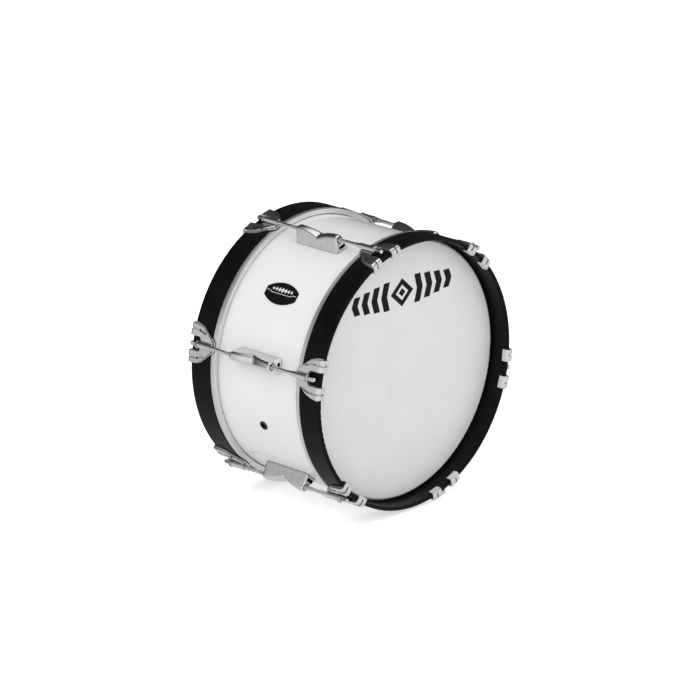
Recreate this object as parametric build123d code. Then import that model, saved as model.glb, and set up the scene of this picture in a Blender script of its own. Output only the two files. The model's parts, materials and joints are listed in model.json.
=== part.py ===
"""Marching bass drum: a shell, two heads, two hoops, and the hardware that tensions them.

The drum's axis lies along Y and its middle is at the origin, with +Z up. The front
head faces -Y. A place on the drum is given by its angle, clockwise from the top as
seen from the front, by its radius from the axis, and by its depth, the distance from
the drum's middle. Hardware is drawn at the top of the rear side, where X runs round
the drum, Y is the depth and Z is the radius, and is then placed at its own angle.
"""

from build123d import *
import math
import os

# Driving dimensions, in millimetres and degrees. A depth is measured from the drum's
# middle, and a radius from the drum's axis.

LUG_COUNT = 6
FIRST_LUG_ANGLE = -18.75
BADGE_ANGLE = FIRST_LUG_ANGLE - 30.0
VENT_ANGLE = FIRST_LUG_ANGLE - 90.0
WRAP_SEAM_ANGLE = 191.0

SHELL_RADIUS = 203.2
SHELL_HALF_DEPTH = 104.5
PLY_WALL = 6.0
WRAP_WALL = 0.8
WRAP_HALF_DEPTH = 99.5
WRAP_SEAM_WIDTH = 0.3
EDGE_ROUND = 3.0
EDGE_CUT = 2.6

BADGE_HALF_LENGTH = 32.0
BADGE_HALF_WIDTH = 18.0
BADGE_END_HALF_WIDTH = 7.0
BADGE_WALL = 0.9

VENT_BORE_RADIUS = 4.0
VENT_BARREL_RADIUS = 5.2
VENT_FLANGE_RADIUS = 7.4
VENT_FLANGE_WALL = 1.2
VENT_FLANGE_RIM = 0.2

LUG_HALF_LENGTH = 44.8
LUG_END_LEAN = 1.0
LUG_END_ROUND = 6.0
LUG_BASE_WIDTH = 25.6
LUG_RIDGE_WIDTH = 11.4
LUG_RIM_ROUND = 5.6
LUG_SADDLE_HEIGHT = 16.4
LUG_SADDLE_ROUND = 5.0
LUG_CREST_DEPTH = 20.0
LUG_CREST_HEIGHT = 22.8
LUG_PEAK_HEIGHT = 25.0
LUG_SKIN = 2.2
LUG_ROOF = 3.4
LUG_WINDOW_WIDTH = 13.0
LUG_WINDOW_LOW = 4.0
LUG_WINDOW_HIGH = 9.2
LUG_WINDOW_ROUND = 1.6
GASKET_WALL = 0.5
GASKET_INSET = 0.5

NUT_RADIUS = 5.9
NUT_NOSE_RADIUS = 4.6
NUT_OUTER_DEPTH = 45.8
NUT_LENGTH = 12.4
NUT_NOSE_LENGTH = 4.6
NUT_NOSE_ROUND = 1.0
NUT_MOUTH_RADIUS = 5.8
NUT_CAVITY_PLAY = 0.15
RETAINER_LENGTH = 3.2
RETAINER_PLAY = 0.6

SCREW_DEPTH = 16.0
SCREW_RADIUS = 2.5
SCREW_GRIP = 8.0
SCREW_BOSS_RADIUS = 4.6
SCREW_HEAD_RADIUS = 4.8
SCREW_HEAD_HEIGHT = 3.2
SCREW_CROSS_WIDTH = 1.0
SCREW_PLAY = 0.3
WASHER_RADIUS = 7.0
WASHER_WALL = 1.0

FILM_THICKNESS = 0.25
FILM_LEG_RADIUS = 206.8
FILM_KNEE_DEPTH = 92.0
FILM_FOOT_DEPTH = 88.1
FLESH_OUTER_RADIUS = 212.0
FLESH_INNER_RADIUS = 204.1
FLESH_INNER_DEPTH = 85.5
FLESH_OUTER_WALL = 1.6
FLESH_INNER_WALL = 1.2
FLESH_INNER_DROP = 2.0
FLESH_INNER_ROUND = 0.9
FLESH_OUTER_ROUND = 1.4
FLESH_TOP_ROUND = 0.5
FLESH_GROOVE_RADIUS = 0.55
FLESH_GROOVE_OFFSET = 3.2
RESIN_OUTER_DEPTH = 91.4

HOOP_RADIUS = 213.2
HOOP_WALL = 6.7
HOOP_INNER_DEPTH = 93.9
HOOP_OUTER_DEPTH = 134.6
HOOP_INNER_SIDE_ROUNDS = (0.8, 1.0)
HOOP_OUTER_SIDE_ROUNDS = (2.2, 2.6)

ROD_AXIS_RADIUS = 221.0
ROD_RADIUS = 3.0
ROD_TIP_DEPTH = 32.0
ROD_COLLAR_RADIUS = 5.6
ROD_COLLAR_LENGTH = 2.2
ROD_COLLAR_ROUND = 1.2
ROD_TIP_CHAMFER = 0.8
ROD_PLAY = 0.6
ROD_WASHER_RADIUS = 6.5
ROD_WASHER_WALL = 1.4
ROD_WASHER_ROUND = 0.4
KEY_WIDTH = 6.35
KEY_LENGTH = 10.8
KEY_CORNER_RADIUS = 4.0
KEY_CHAMFER = 1.1

CLAW_WALL = 4.8
CLAW_APEX_DEPTH = 87.0
CLAW_APEX_HALF_WIDTH = 7.2
CLAW_SHOULDER_DEPTH = 110.0
CLAW_SHOULDER_HALF_WIDTH = 26.4
CLAW_BOW_DEPTH = 122.0
CLAW_BOW_HALF_WIDTH = 30.8
CLAW_HALF_WIDTH = 32.3
CLAW_FLANGE_WALL = 1.6
CLAW_FLANGE_WIDTH = 1.8
CLAW_APEX_ROUND = 3.0
CLAW_SHOULDER_ROUND = 8.0
CLAW_RIM_ROUND = 0.8
CLAW_BEND_ROUND = 5.0
HOOK_FACE_DEPTH = 137.6
LIP_INNER_RADIUS = 202.8
LIP_WALL = 3.0
LIP_LENGTH = 10.0
LIP_BEND_ROUND = 2.6
LIP_END_ROUND = 1.3
WINDOW_HALF_WIDTH = 10.6
WINDOW_DEPTH = 114.5
WINDOW_ROUND = 5.0
TUBE_RADIUS = 5.0
TUBE_OUTER_DEPTH = 114.5
TUBE_ROUND = 0.6
STUB_RADIUS = 3.9
STUB_DEPTH = 77.0
STUB_CHAMFER = 0.5
LINER_WALL = 0.5
WING_SLOT_LENGTH = 17.0
WING_SLOT_WIDTH = 3.6
WING_SLOT_DEPTH = 1.7
WING_SLOT_TURN = 16.0
WING_SLOT_PLACE = (20.0, 111.5)
WING_FALL = 1.4
GROOVE_PLACE = 21.8
GROOVE_WIDTH = 3.0
GROOVE_DEPTH = 1.2
GROOVE_START = 121.0
GROOVE_FOOT = 206.0
BEND_HOLE_RADIUS = 1.9
BEND_HOLE_DEPTH = 2.4
BEND_HOLE_LEAN = 45.0

BOND_GAP = 0.02
TOUCH_GAP = 0.05
RUN_GAP = 0.1

# Worked-out dimensions
PLY_OUTER_RADIUS = SHELL_RADIUS - WRAP_WALL
PLY_INNER_RADIUS = PLY_OUTER_RADIUS - PLY_WALL
LUG_FOOT = SHELL_RADIUS + GASKET_WALL + 2 * BOND_GAP
NUT_INNER_DEPTH = NUT_OUTER_DEPTH - NUT_LENGTH
NUT_CAVITY_RADIUS = NUT_RADIUS + NUT_CAVITY_PLAY
NUT_CAVITY_DEPTH = NUT_INNER_DEPTH - RETAINER_LENGTH - RETAINER_PLAY
NUT_SHOULDER_DEPTH = NUT_OUTER_DEPTH - NUT_NOSE_LENGTH
ROD_ROOM_RADIUS = ROD_RADIUS + ROD_PLAY
SCREW_HOLE_RADIUS = SCREW_RADIUS + SCREW_PLAY
HOOP_INNER_RADIUS = HOOP_RADIUS - HOOP_WALL
CLAW_FOOT = HOOP_RADIUS + LINER_WALL + 2 * TOUCH_GAP
CLAW_TOP = CLAW_FOOT + CLAW_WALL
ROD_SEAT = TUBE_OUTER_DEPTH + ROD_WASHER_WALL + 2 * TOUCH_GAP

LUG_ANGLES = [FIRST_LUG_ANGLE + turn * 360 / LUG_COUNT for turn in range(LUG_COUNT)]
SIDES = ("front", "rear")

# Lengths and angles that only have to be generous: a cut or an overlap runs this far past.
PAST = 5.0
REACH = 300.0
BADGE_SPREAD = 20.0
LUG_SPREAD = 14.0
CLAW_SPREAD = 24.0


# Helpers


def place(shape, angle, side="rear"):
    """A piece drawn at the top of the rear side, moved to its angle and side."""
    half_turn = 180 if side == "front" else 0
    return Rot(0, angle, 0) * Rot(0, 0, half_turn) * shape


def at_every_lug(shape, sides=("rear",)):
    """One piece on each lug line, at the rear end of the line or at both ends."""
    return [place(shape, angle, side) for side in sides for angle in LUG_ANGLES]


def group(shapes):
    """Separate solids that share one node."""
    return Compound(children=[solid for shape in shapes for solid in shape.solids()])


def section(*corners):
    """A flat face through (radius, depth) corners, beside the drum's axis."""
    return make_face(Polyline(*corners, close=True))


def band_section(low, high, half_depth):
    """A section between two radii, as far to the front as to the rear."""
    return section(
        (low, -half_depth),
        (high, -half_depth),
        (high, half_depth),
        (low, half_depth),
    )


def soften(face, *rounds):
    """The face with each (radius, depth, round) corner given its own fillet."""
    for radius, depth, amount in rounds:
        corner = face.vertices().sort_by_distance((radius, depth, 0))[0]
        face = fillet(corner, amount)
    return face


def turned(face, angle=360.0):
    """A section turned about the drum's axis, centred on the top of the drum."""
    upright = Rot(0, -90 - angle / 2, 0) * face
    return revolve(upright, Axis.Y, angle)


def radial_prism(outline, low, high):
    """A plan outline in (round the drum, depth), stood up between two radii."""
    return extrude(Pos(0, 0, low) * outline, high - low)


def radial_cylinder(radius, low, high, depth=0.0):
    """A round bar standing on the drum's radius."""
    bar = Cylinder(radius, high - low, align=(Align.CENTER, Align.CENTER, Align.MIN))
    return Pos(0, depth, low) * bar


def rod_cylinder(radius, start, end):
    """A round bar lying along the tension rod's axis, between two depths."""
    bar = Cylinder(radius, end - start, align=(Align.CENTER, Align.CENTER, Align.MIN))
    return Pos(0, start, ROD_AXIS_RADIUS) * Rot(-90, 0, 0) * bar


# Shell


def lug_screw_holes():
    """Radial holes through the shell for every lug screw."""
    hole = radial_cylinder(
        SCREW_HOLE_RADIUS, PLY_INNER_RADIUS - PAST, SHELL_RADIUS + PAST, SCREW_DEPTH
    )
    return at_every_lug(hole, SIDES)


def vent_hole():
    """The radial hole that the vent grommet goes through."""
    hole = radial_cylinder(VENT_BARREL_RADIUS, PLY_INNER_RADIUS - PAST, SHELL_RADIUS + PAST)
    return place(hole, VENT_ANGLE)


def shell_plies():
    """The wooden cylinder. Each bearing edge is cut at 45 degrees inside and rounded outside."""
    crest = PLY_INNER_RADIUS + EDGE_CUT
    shoulder = SHELL_HALF_DEPTH - EDGE_CUT
    wall = section(
        (PLY_INNER_RADIUS, -shoulder),
        (crest, -SHELL_HALF_DEPTH),
        (PLY_OUTER_RADIUS, -SHELL_HALF_DEPTH),
        (PLY_OUTER_RADIUS, SHELL_HALF_DEPTH),
        (crest, SHELL_HALF_DEPTH),
        (PLY_INNER_RADIUS, shoulder),
    )
    wall = soften(
        wall,
        (PLY_OUTER_RADIUS, -SHELL_HALF_DEPTH, EDGE_ROUND),
        (PLY_OUTER_RADIUS, SHELL_HALF_DEPTH, EDGE_ROUND),
    )
    return turned(wall) - lug_screw_holes() - vent_hole()


def shell_wrap():
    """The glued sheet outside the plies, with its butt seam."""
    sheet = band_section(PLY_OUTER_RADIUS + BOND_GAP, SHELL_RADIUS, WRAP_HALF_DEPTH)
    seam = Pos(0, 0, SHELL_RADIUS) * Box(WRAP_SEAM_WIDTH, 3 * WRAP_HALF_DEPTH, 2 * PAST)
    return turned(sheet) - lug_screw_holes() - vent_hole() - place(seam, WRAP_SEAM_ANGLE)


def badge_plate():
    """The curved plate glued to the wrap: straight short ends and bowed long edges."""
    end = BADGE_END_HALF_WIDTH
    length = BADGE_HALF_LENGTH
    outline = make_face(
        [
            Line((-end, -length), (end, -length)),
            ThreePointArc((end, -length), (BADGE_HALF_WIDTH, 0), (end, length)),
            Line((end, length), (-end, length)),
            ThreePointArc((-end, length), (-BADGE_HALF_WIDTH, 0), (-end, -length)),
        ]
    )
    base = SHELL_RADIUS + BOND_GAP
    skin = turned(band_section(base, base + BADGE_WALL, length + PAST), BADGE_SPREAD)
    plate = skin & radial_prism(outline, SHELL_RADIUS - PAST, SHELL_RADIUS + PAST)
    return place(plate, BADGE_ANGLE)


def vent_grommet():
    """The grommet that lines the air vent: a barrel with a round flange at each end."""
    foot = SHELL_RADIUS + BOND_GAP
    head = PLY_INNER_RADIUS - RUN_GAP
    curl = VENT_FLANGE_WALL - VENT_FLANGE_RIM
    outer = radial_cylinder(VENT_FLANGE_RADIUS, foot, foot + VENT_FLANGE_WALL)
    outer = fillet(outer.edges().group_by(Axis.Z)[-1], curl)
    inner = radial_cylinder(VENT_FLANGE_RADIUS - curl, head - VENT_FLANGE_WALL, head)
    barrel = radial_cylinder(
        VENT_BARREL_RADIUS - TOUCH_GAP, head - VENT_FLANGE_WALL, foot + VENT_FLANGE_WALL
    )
    bore = radial_cylinder(VENT_BORE_RADIUS, head - PAST, foot + PAST)
    return place(outer + inner + barrel - bore, VENT_ANGLE)


# Lugs


def lug_side():
    """A lug seen from the side: two crests with a round saddle between, and round ends."""
    foot = SHELL_RADIUS - PAST
    top = SHELL_RADIUS + LUG_PEAK_HEIGHT
    saddle = (0, SHELL_RADIUS + LUG_SADDLE_HEIGHT)
    crest = (LUG_CREST_DEPTH, SHELL_RADIUS + LUG_CREST_HEIGHT)
    corner = (LUG_HALF_LENGTH - LUG_END_LEAN, top)
    heel = (LUG_HALF_LENGTH, foot)
    half = [ThreePointArc(saddle, crest, corner), Line(corner, heel)]
    other_half = [mirror(line, Plane.YZ) for line in half]
    outline = make_face([*half, Line(heel, (-heel[0], foot)), *other_half])
    corners = [point for point in outline.vertices() if point.Y > top - TOUCH_GAP]
    outline = fillet(corners, LUG_END_ROUND)
    return fillet(outline.vertices().sort_by_distance((*saddle, 0))[0], LUG_SADDLE_ROUND)


def lug_end(inset=0.0):
    """A lug seen from the end: flanks that lean in towards the ridge."""
    foot = SHELL_RADIUS - PAST
    top = SHELL_RADIUS + LUG_PEAK_HEIGHT + PAST
    lean = (LUG_BASE_WIDTH - LUG_RIDGE_WIDTH) / (2 * LUG_PEAK_HEIGHT)
    low_half = LUG_BASE_WIDTH / 2 + PAST * lean - inset
    high_half = LUG_RIDGE_WIDTH / 2 - PAST * lean - inset
    return make_face(
        Polyline(
            (-low_half, foot), (low_half, foot), (high_half, top), (-high_half, top), close=True
        )
    )


def lug_body():
    """The outside of a lug, with round rims and a foot that follows the shell."""
    side = extrude(Plane.YZ * lug_side(), LUG_BASE_WIDTH, both=True)
    end = extrude(Plane.XZ * lug_end(), LUG_HALF_LENGTH + PAST, both=True)
    body = side & end
    flanks = body.faces().sort_by(Axis.X)
    rims = [
        edge
        for flank in (flanks[0], flanks[-1])
        for edge in flank.edges()
        if (edge @ 0.5).Z > SHELL_RADIUS
    ]
    return fillet(rims, LUG_RIM_ROUND) - turned(band_section(0, LUG_FOOT, 2 * LUG_HALF_LENGTH))


def lug_hollow():
    """The hollow under a lug, round its screw bosses."""
    end = NUT_CAVITY_DEPTH - LUG_SKIN
    foot = SHELL_RADIUS - PAST / 2
    low_roof = SHELL_RADIUS + LUG_SADDLE_HEIGHT - LUG_ROOF
    high_roof = SHELL_RADIUS + LUG_CREST_HEIGHT - LUG_ROOF
    room = make_face(
        Polyline(
            (-end, foot),
            (end, foot),
            (end, high_roof),
            (LUG_CREST_DEPTH, high_roof),
            (0, low_roof),
            (-LUG_CREST_DEPTH, high_roof),
            (-end, high_roof),
            close=True,
        )
    )
    side = extrude(Plane.YZ * room, LUG_BASE_WIDTH, both=True)
    inside = extrude(Plane.XZ * lug_end(LUG_SKIN), LUG_HALF_LENGTH, both=True)
    bosses = [
        radial_cylinder(SCREW_BOSS_RADIUS, SHELL_RADIUS - PAST, REACH, depth)
        for depth in (-SCREW_DEPTH, SCREW_DEPTH)
    ]
    return (side & inside) - bosses


def lug_window():
    """The opening under the nut in a lug's end wall, which leads into the hollow."""
    start = NUT_CAVITY_DEPTH - 2 * LUG_SKIN
    length = LUG_HALF_LENGTH + PAST - start
    height = LUG_WINDOW_HIGH - LUG_WINDOW_LOW
    room = Pos(0, start + length / 2, SHELL_RADIUS + LUG_WINDOW_LOW + height / 2) * Box(
        LUG_WINDOW_WIDTH, length, height
    )
    return fillet(room.edges().filter_by(Axis.Y), LUG_WINDOW_ROUND)


def lug():
    """The double-ended lug casting: hollow, with a nut cavity and a screw boss at each end."""
    cavity = rod_cylinder(NUT_CAVITY_RADIUS, NUT_CAVITY_DEPTH, NUT_SHOULDER_DEPTH + TOUCH_GAP)
    mouth = rod_cylinder(NUT_MOUTH_RADIUS, NUT_SHOULDER_DEPTH, LUG_HALF_LENGTH + PAST)
    tip_room = rod_cylinder(ROD_ROOM_RADIUS, NUT_CAVITY_DEPTH - PAST, NUT_CAVITY_DEPTH + 1)
    screw_hole = radial_cylinder(
        SCREW_RADIUS + TOUCH_GAP, LUG_FOOT - PAST, LUG_FOOT + SCREW_GRIP + 1, SCREW_DEPTH
    )
    cuts = cavity + mouth + tip_room + screw_hole + lug_window()
    return lug_body() - lug_hollow() - cuts - Rot(0, 0, 180) * cuts


def lug_gasket():
    """The thin pad between a lug and the wrap."""
    inner = SHELL_RADIUS + BOND_GAP
    outer = inner + GASKET_WALL
    width = LUG_BASE_WIDTH - 2 * GASKET_INSET
    length = 2 * (LUG_HALF_LENGTH - GASKET_INSET)
    band = turned(band_section(inner, outer, LUG_HALF_LENGTH), LUG_SPREAD)
    outline = RectangleRounded(width, length, LUG_RIM_ROUND - GASKET_INSET)
    holes = [
        radial_cylinder(SCREW_HOLE_RADIUS, inner - PAST, outer + PAST, depth)
        for depth in (-SCREW_DEPTH, SCREW_DEPTH)
    ]
    return (band & radial_prism(outline, inner - PAST, outer + PAST)) - holes


def swivel_nut():
    """The threaded insert that a tension rod screws into: a barrel with a nose in the mouth."""
    barrel = rod_cylinder(NUT_RADIUS, NUT_INNER_DEPTH, NUT_SHOULDER_DEPTH)
    nose = rod_cylinder(NUT_NOSE_RADIUS, NUT_SHOULDER_DEPTH - 1, NUT_OUTER_DEPTH)
    nose = fillet(nose.edges().sort_by(Axis.Y)[-1], NUT_NOSE_ROUND)
    bore = rod_cylinder(ROD_RADIUS + TOUCH_GAP, NUT_INNER_DEPTH - 1, NUT_OUTER_DEPTH + 1)
    return barrel + nose - bore


def nut_retainer():
    """The plastic cup that keeps a swivel nut from falling back into its lug."""
    end = NUT_INNER_DEPTH - TOUCH_GAP
    start = end - RETAINER_LENGTH
    plug = rod_cylinder(NUT_CAVITY_RADIUS - TOUCH_GAP, start, end)
    return plug - rod_cylinder(ROD_ROOM_RADIUS, start - 1, end + 1)


def washer_top():
    """The radius of a lug washer's seat, where its rim meets the round shell inside."""
    return math.sqrt(PLY_INNER_RADIUS**2 - WASHER_RADIUS**2) - TOUCH_GAP


def lug_screw():
    """A cross-head screw, put in from inside the shell."""
    seat = washer_top() - WASHER_WALL - TOUCH_GAP
    crown = seat - SCREW_HEAD_HEIGHT
    head = radial_cylinder(SCREW_HEAD_RADIUS, crown, seat, SCREW_DEPTH)
    head = fillet(head.edges().sort_by(Axis.Z)[0], SCREW_HEAD_HEIGHT / 2)
    shank = radial_cylinder(SCREW_RADIUS, seat - 1, LUG_FOOT + SCREW_GRIP, SCREW_DEPTH)
    blade = Box(SCREW_HEAD_RADIUS, SCREW_CROSS_WIDTH, SCREW_HEAD_HEIGHT)
    cross = Pos(0, SCREW_DEPTH, crown) * (blade + Rot(0, 0, 90) * blade)
    return head + shank - cross


def lug_washer():
    """The flat washer under a lug screw's head."""
    top = washer_top()
    disc = radial_cylinder(WASHER_RADIUS, top - WASHER_WALL, top, SCREW_DEPTH)
    return disc - radial_cylinder(SCREW_HOLE_RADIUS, top - PAST, top + PAST, SCREW_DEPTH)


# Heads and hoops


def film_edge(offset):
    """One face of the film in section, from the axis over the bearing edge to the channel."""
    centre = Vector(PLY_OUTER_RADIUS - EDGE_ROUND, SHELL_HALF_DEPTH - EDGE_ROUND)
    radius = EDGE_ROUND + TOUCH_GAP + offset
    knee = Vector(FILM_LEG_RADIUS + offset, FILM_KNEE_DEPTH)
    run = knee - centre
    leave = math.degrees(math.atan2(run.Y, run.X) + math.acos(radius / run.length))
    over = CenterArc(centre, radius, 90, leave - 90)
    top = centre + Vector(0, radius)
    axis_end = Vector(0, top.Y)
    foot = Vector(knee.X, FILM_FOOT_DEPTH)
    return [Line(axis_end, top), over, Line(over @ 1, knee), Line(knee, foot)]


def head_film():
    """The drum head: a flat film whose collar runs down outside the bearing edge."""
    inner = film_edge(0.0)
    outer = film_edge(FILM_THICKNESS)
    ends = [Line(inner[0] @ 0, outer[0] @ 0), Line(inner[-1] @ 1, outer[-1] @ 1)]
    return turned(make_face(inner + outer + ends))


def flesh_hoop():
    """The aluminium channel that the film is cast into. It opens towards the counter hoop."""
    top = HOOP_INNER_DEPTH - TOUCH_GAP
    inner_top = top - FLESH_INNER_DROP
    floor = FLESH_INNER_DEPTH + FLESH_OUTER_WALL
    channel = section(
        (FLESH_INNER_RADIUS, FLESH_INNER_DEPTH),
        (FLESH_OUTER_RADIUS, FLESH_INNER_DEPTH),
        (FLESH_OUTER_RADIUS, top),
        (FLESH_OUTER_RADIUS - FLESH_OUTER_WALL, top),
        (FLESH_OUTER_RADIUS - FLESH_OUTER_WALL, floor),
        (FLESH_INNER_RADIUS + FLESH_INNER_WALL, floor),
        (FLESH_INNER_RADIUS + FLESH_INNER_WALL, inner_top),
        (FLESH_INNER_RADIUS, inner_top),
    )
    channel = soften(
        channel,
        (FLESH_INNER_RADIUS, FLESH_INNER_DEPTH, FLESH_INNER_ROUND),
        (FLESH_OUTER_RADIUS, FLESH_INNER_DEPTH, FLESH_OUTER_ROUND),
        (FLESH_OUTER_RADIUS, top, FLESH_TOP_ROUND),
    )
    groove = Pos(FLESH_OUTER_RADIUS, FLESH_INNER_DEPTH + FLESH_GROOVE_OFFSET) * Circle(
        FLESH_GROOVE_RADIUS
    )
    return turned(channel - groove)


def channel_resin():
    """The resin that locks the film into its channel, on both sides of the film's edge."""
    outer = FLESH_OUTER_RADIUS - FLESH_OUTER_WALL - BOND_GAP
    inner = FLESH_INNER_RADIUS + FLESH_INNER_WALL + BOND_GAP
    floor = FLESH_INNER_DEPTH + FLESH_OUTER_WALL + BOND_GAP
    slot_outer = FILM_LEG_RADIUS + FILM_THICKNESS + BOND_GAP
    slot_inner = FILM_LEG_RADIUS - BOND_GAP
    slot_floor = FILM_FOOT_DEPTH - BOND_GAP
    fill = section(
        (inner, floor),
        (outer, floor),
        (outer, RESIN_OUTER_DEPTH),
        (slot_outer, RESIN_OUTER_DEPTH),
        (slot_outer, slot_floor),
        (slot_inner, slot_floor),
        (slot_inner, RESIN_OUTER_DEPTH),
        (inner, RESIN_OUTER_DEPTH),
    )
    return turned(fill)


def counter_hoop():
    """The wooden hoop that the claws pull down on the flesh hoop."""
    band = section(
        (HOOP_INNER_RADIUS, HOOP_INNER_DEPTH),
        (HOOP_RADIUS, HOOP_INNER_DEPTH),
        (HOOP_RADIUS, HOOP_OUTER_DEPTH),
        (HOOP_INNER_RADIUS, HOOP_OUTER_DEPTH),
    )
    band = soften(
        band,
        (HOOP_INNER_RADIUS, HOOP_INNER_DEPTH, HOOP_INNER_SIDE_ROUNDS[0]),
        (HOOP_RADIUS, HOOP_INNER_DEPTH, HOOP_INNER_SIDE_ROUNDS[1]),
        (HOOP_RADIUS, HOOP_OUTER_DEPTH, HOOP_OUTER_SIDE_ROUNDS[1]),
        (HOOP_INNER_RADIUS, HOOP_OUTER_DEPTH, HOOP_OUTER_SIDE_ROUNDS[0]),
    )
    return turned(band)


# Claws and rods


def claw_outline(inset=0.0):
    """A claw's plan: a shield, narrow towards the shell, with bowed flanks."""
    far = HOOK_FACE_DEPTH + 1
    apex = (CLAW_APEX_HALF_WIDTH - inset, CLAW_APEX_DEPTH + inset)
    shoulder = (CLAW_SHOULDER_HALF_WIDTH - inset, CLAW_SHOULDER_DEPTH)
    bow = (CLAW_BOW_HALF_WIDTH - inset, CLAW_BOW_DEPTH)
    end = (CLAW_HALF_WIDTH - inset, far)
    flank = [Line(apex, shoulder), ThreePointArc(shoulder, bow, end)]
    other_flank = [mirror(line, Plane.YZ) for line in flank]
    outline = make_face(
        [
            Line((-apex[0], apex[1]), apex),
            *flank,
            Line(end, (-end[0], far)),
            *other_flank,
        ]
    )
    tips = [corner for corner in outline.vertices() if corner.Y < CLAW_SHOULDER_DEPTH - PAST]
    outline = fillet(tips, CLAW_APEX_ROUND)
    shoulders = [
        corner
        for corner in outline.vertices()
        if abs(corner.Y - CLAW_SHOULDER_DEPTH) < TOUCH_GAP
    ]
    return fillet(shoulders, CLAW_SHOULDER_ROUND)


def claw_window(grow=0.0):
    """The opening between a claw's two prongs, where the tuning key reaches the rod."""
    half = WINDOW_HALF_WIDTH + grow
    low = WINDOW_DEPTH - grow
    length = HOOK_FACE_DEPTH + 4 * PAST - low
    return Pos(0, low + length / 2) * RectangleRounded(2 * half, length, WINDOW_ROUND)


def hook_profile():
    """A claw's section: a plate over the hoop, a bend, and a lip turned in behind the hoop."""
    start = CLAW_APEX_DEPTH - 2
    inside_face = HOOP_OUTER_DEPTH + LINER_WALL + 2 * TOUCH_GAP
    lip_top = LIP_INNER_RADIUS + LIP_WALL
    lip_end = HOOK_FACE_DEPTH - LIP_LENGTH
    profile = section(
        (CLAW_FOOT, start),
        (CLAW_TOP, start),
        (CLAW_TOP, HOOK_FACE_DEPTH),
        (LIP_INNER_RADIUS, HOOK_FACE_DEPTH),
        (LIP_INNER_RADIUS, lip_end),
        (lip_top, lip_end),
        (lip_top, inside_face),
        (CLAW_FOOT, inside_face),
    )
    return soften(
        profile,
        (CLAW_TOP, HOOK_FACE_DEPTH, CLAW_BEND_ROUND),
        (LIP_INNER_RADIUS, HOOK_FACE_DEPTH, LIP_BEND_ROUND),
        (LIP_INNER_RADIUS, lip_end, LIP_END_ROUND),
        (lip_top, lip_end, LIP_END_ROUND),
    )


def flange_profile():
    """The section of the thin flange that a claw's body stands on."""
    return section(
        (CLAW_FOOT, CLAW_APEX_DEPTH - 2),
        (CLAW_FOOT + CLAW_FLANGE_WALL, CLAW_APEX_DEPTH - 2),
        (CLAW_FOOT + CLAW_FLANGE_WALL, HOOP_OUTER_DEPTH - 0.5),
        (CLAW_FOOT, HOOP_OUTER_DEPTH - 0.5),
    )


def claw_layer(profile, inset):
    """A claw section turned round the hoop and cut to the claw's plan."""
    low = LIP_INNER_RADIUS - 2 * PAST
    layer = turned(profile, CLAW_SPREAD)
    layer = layer & radial_prism(claw_outline(inset), low, REACH)
    return layer - radial_prism(claw_window(inset / 2), low, REACH)


def is_visible_rim(edge):
    """True for the outer edges of a claw's body that its rounding follows."""
    start = edge @ 0
    middle = edge @ 0.5
    end = edge @ 1
    radius = math.hypot(middle.X, middle.Z)
    runs_across = abs(start.Y - end.Y) < TOUCH_GAP and abs(start.X - end.X) > 3 * PAST
    on_top = radius > CLAW_TOP - TOUCH_GAP
    on_face = middle.Y > HOOK_FACE_DEPTH - 2 * CLAW_RIM_ROUND
    on_lip = radius < LIP_INNER_RADIUS + 1.5 * CLAW_RIM_ROUND
    return (on_top or on_face or on_lip) and not runs_across


def claw_groove(middle):
    """The groove that runs over a prong's bend and down its pad."""
    deep = GROOVE_DEPTH
    kept = section(
        (CLAW_FOOT - 3 * PAST, GROOVE_START - 2 * PAST),
        (CLAW_TOP - deep, GROOVE_START - 2 * PAST),
        (CLAW_TOP - deep, HOOK_FACE_DEPTH - deep),
        (CLAW_FOOT - 3 * PAST, HOOK_FACE_DEPTH - deep),
    )
    kept = soften(kept, (CLAW_TOP - deep, HOOK_FACE_DEPTH - deep, CLAW_BEND_ROUND - deep))
    length = HOOK_FACE_DEPTH + PAST - GROOVE_START
    height = CLAW_TOP + PAST - GROOVE_FOOT
    slab = Pos(middle, GROOVE_START + length / 2, GROOVE_FOOT + height / 2) * Box(
        GROOVE_WIDTH, length, height
    )
    ends = slab.edges().filter_by(Axis.Z).group_by(Axis.Y)[0]
    slab = fillet(ends, GROOVE_WIDTH / 2 - TOUCH_GAP)
    return slab - turned(kept, CLAW_SPREAD)


def bend_hole():
    """The blind hole in a claw's bend, leaning out from the middle of the bend."""
    middle = (HOOK_FACE_DEPTH - CLAW_BEND_ROUND, CLAW_TOP - CLAW_BEND_ROUND)
    bar = radial_cylinder(BEND_HOLE_RADIUS, CLAW_BEND_ROUND - BEND_HOLE_DEPTH, 2 * PAST)
    return Pos(0, *middle) * Rot(-BEND_HOLE_LEAN, 0, 0) * bar


def claw_recesses():
    """The sunk details of both prongs: a wing slot, and a groove with a hole at its bend."""
    slot = SlotOverall(WING_SLOT_LENGTH, WING_SLOT_WIDTH, rotation=90)
    floor = CLAW_TOP - WING_SLOT_DEPTH - WING_FALL
    cuts = []
    for hand in (-1, 1):
        across, depth = WING_SLOT_PLACE
        wing = Pos(hand * across, depth, floor) * Rot(0, 0, -hand * WING_SLOT_TURN)
        cuts.append(wing * extrude(slot, REACH))
        cuts.append(claw_groove(hand * GROOVE_PLACE))
        cuts.append(Pos(hand * GROOVE_PLACE, 0, 0) * bend_hole())
    return cuts


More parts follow.
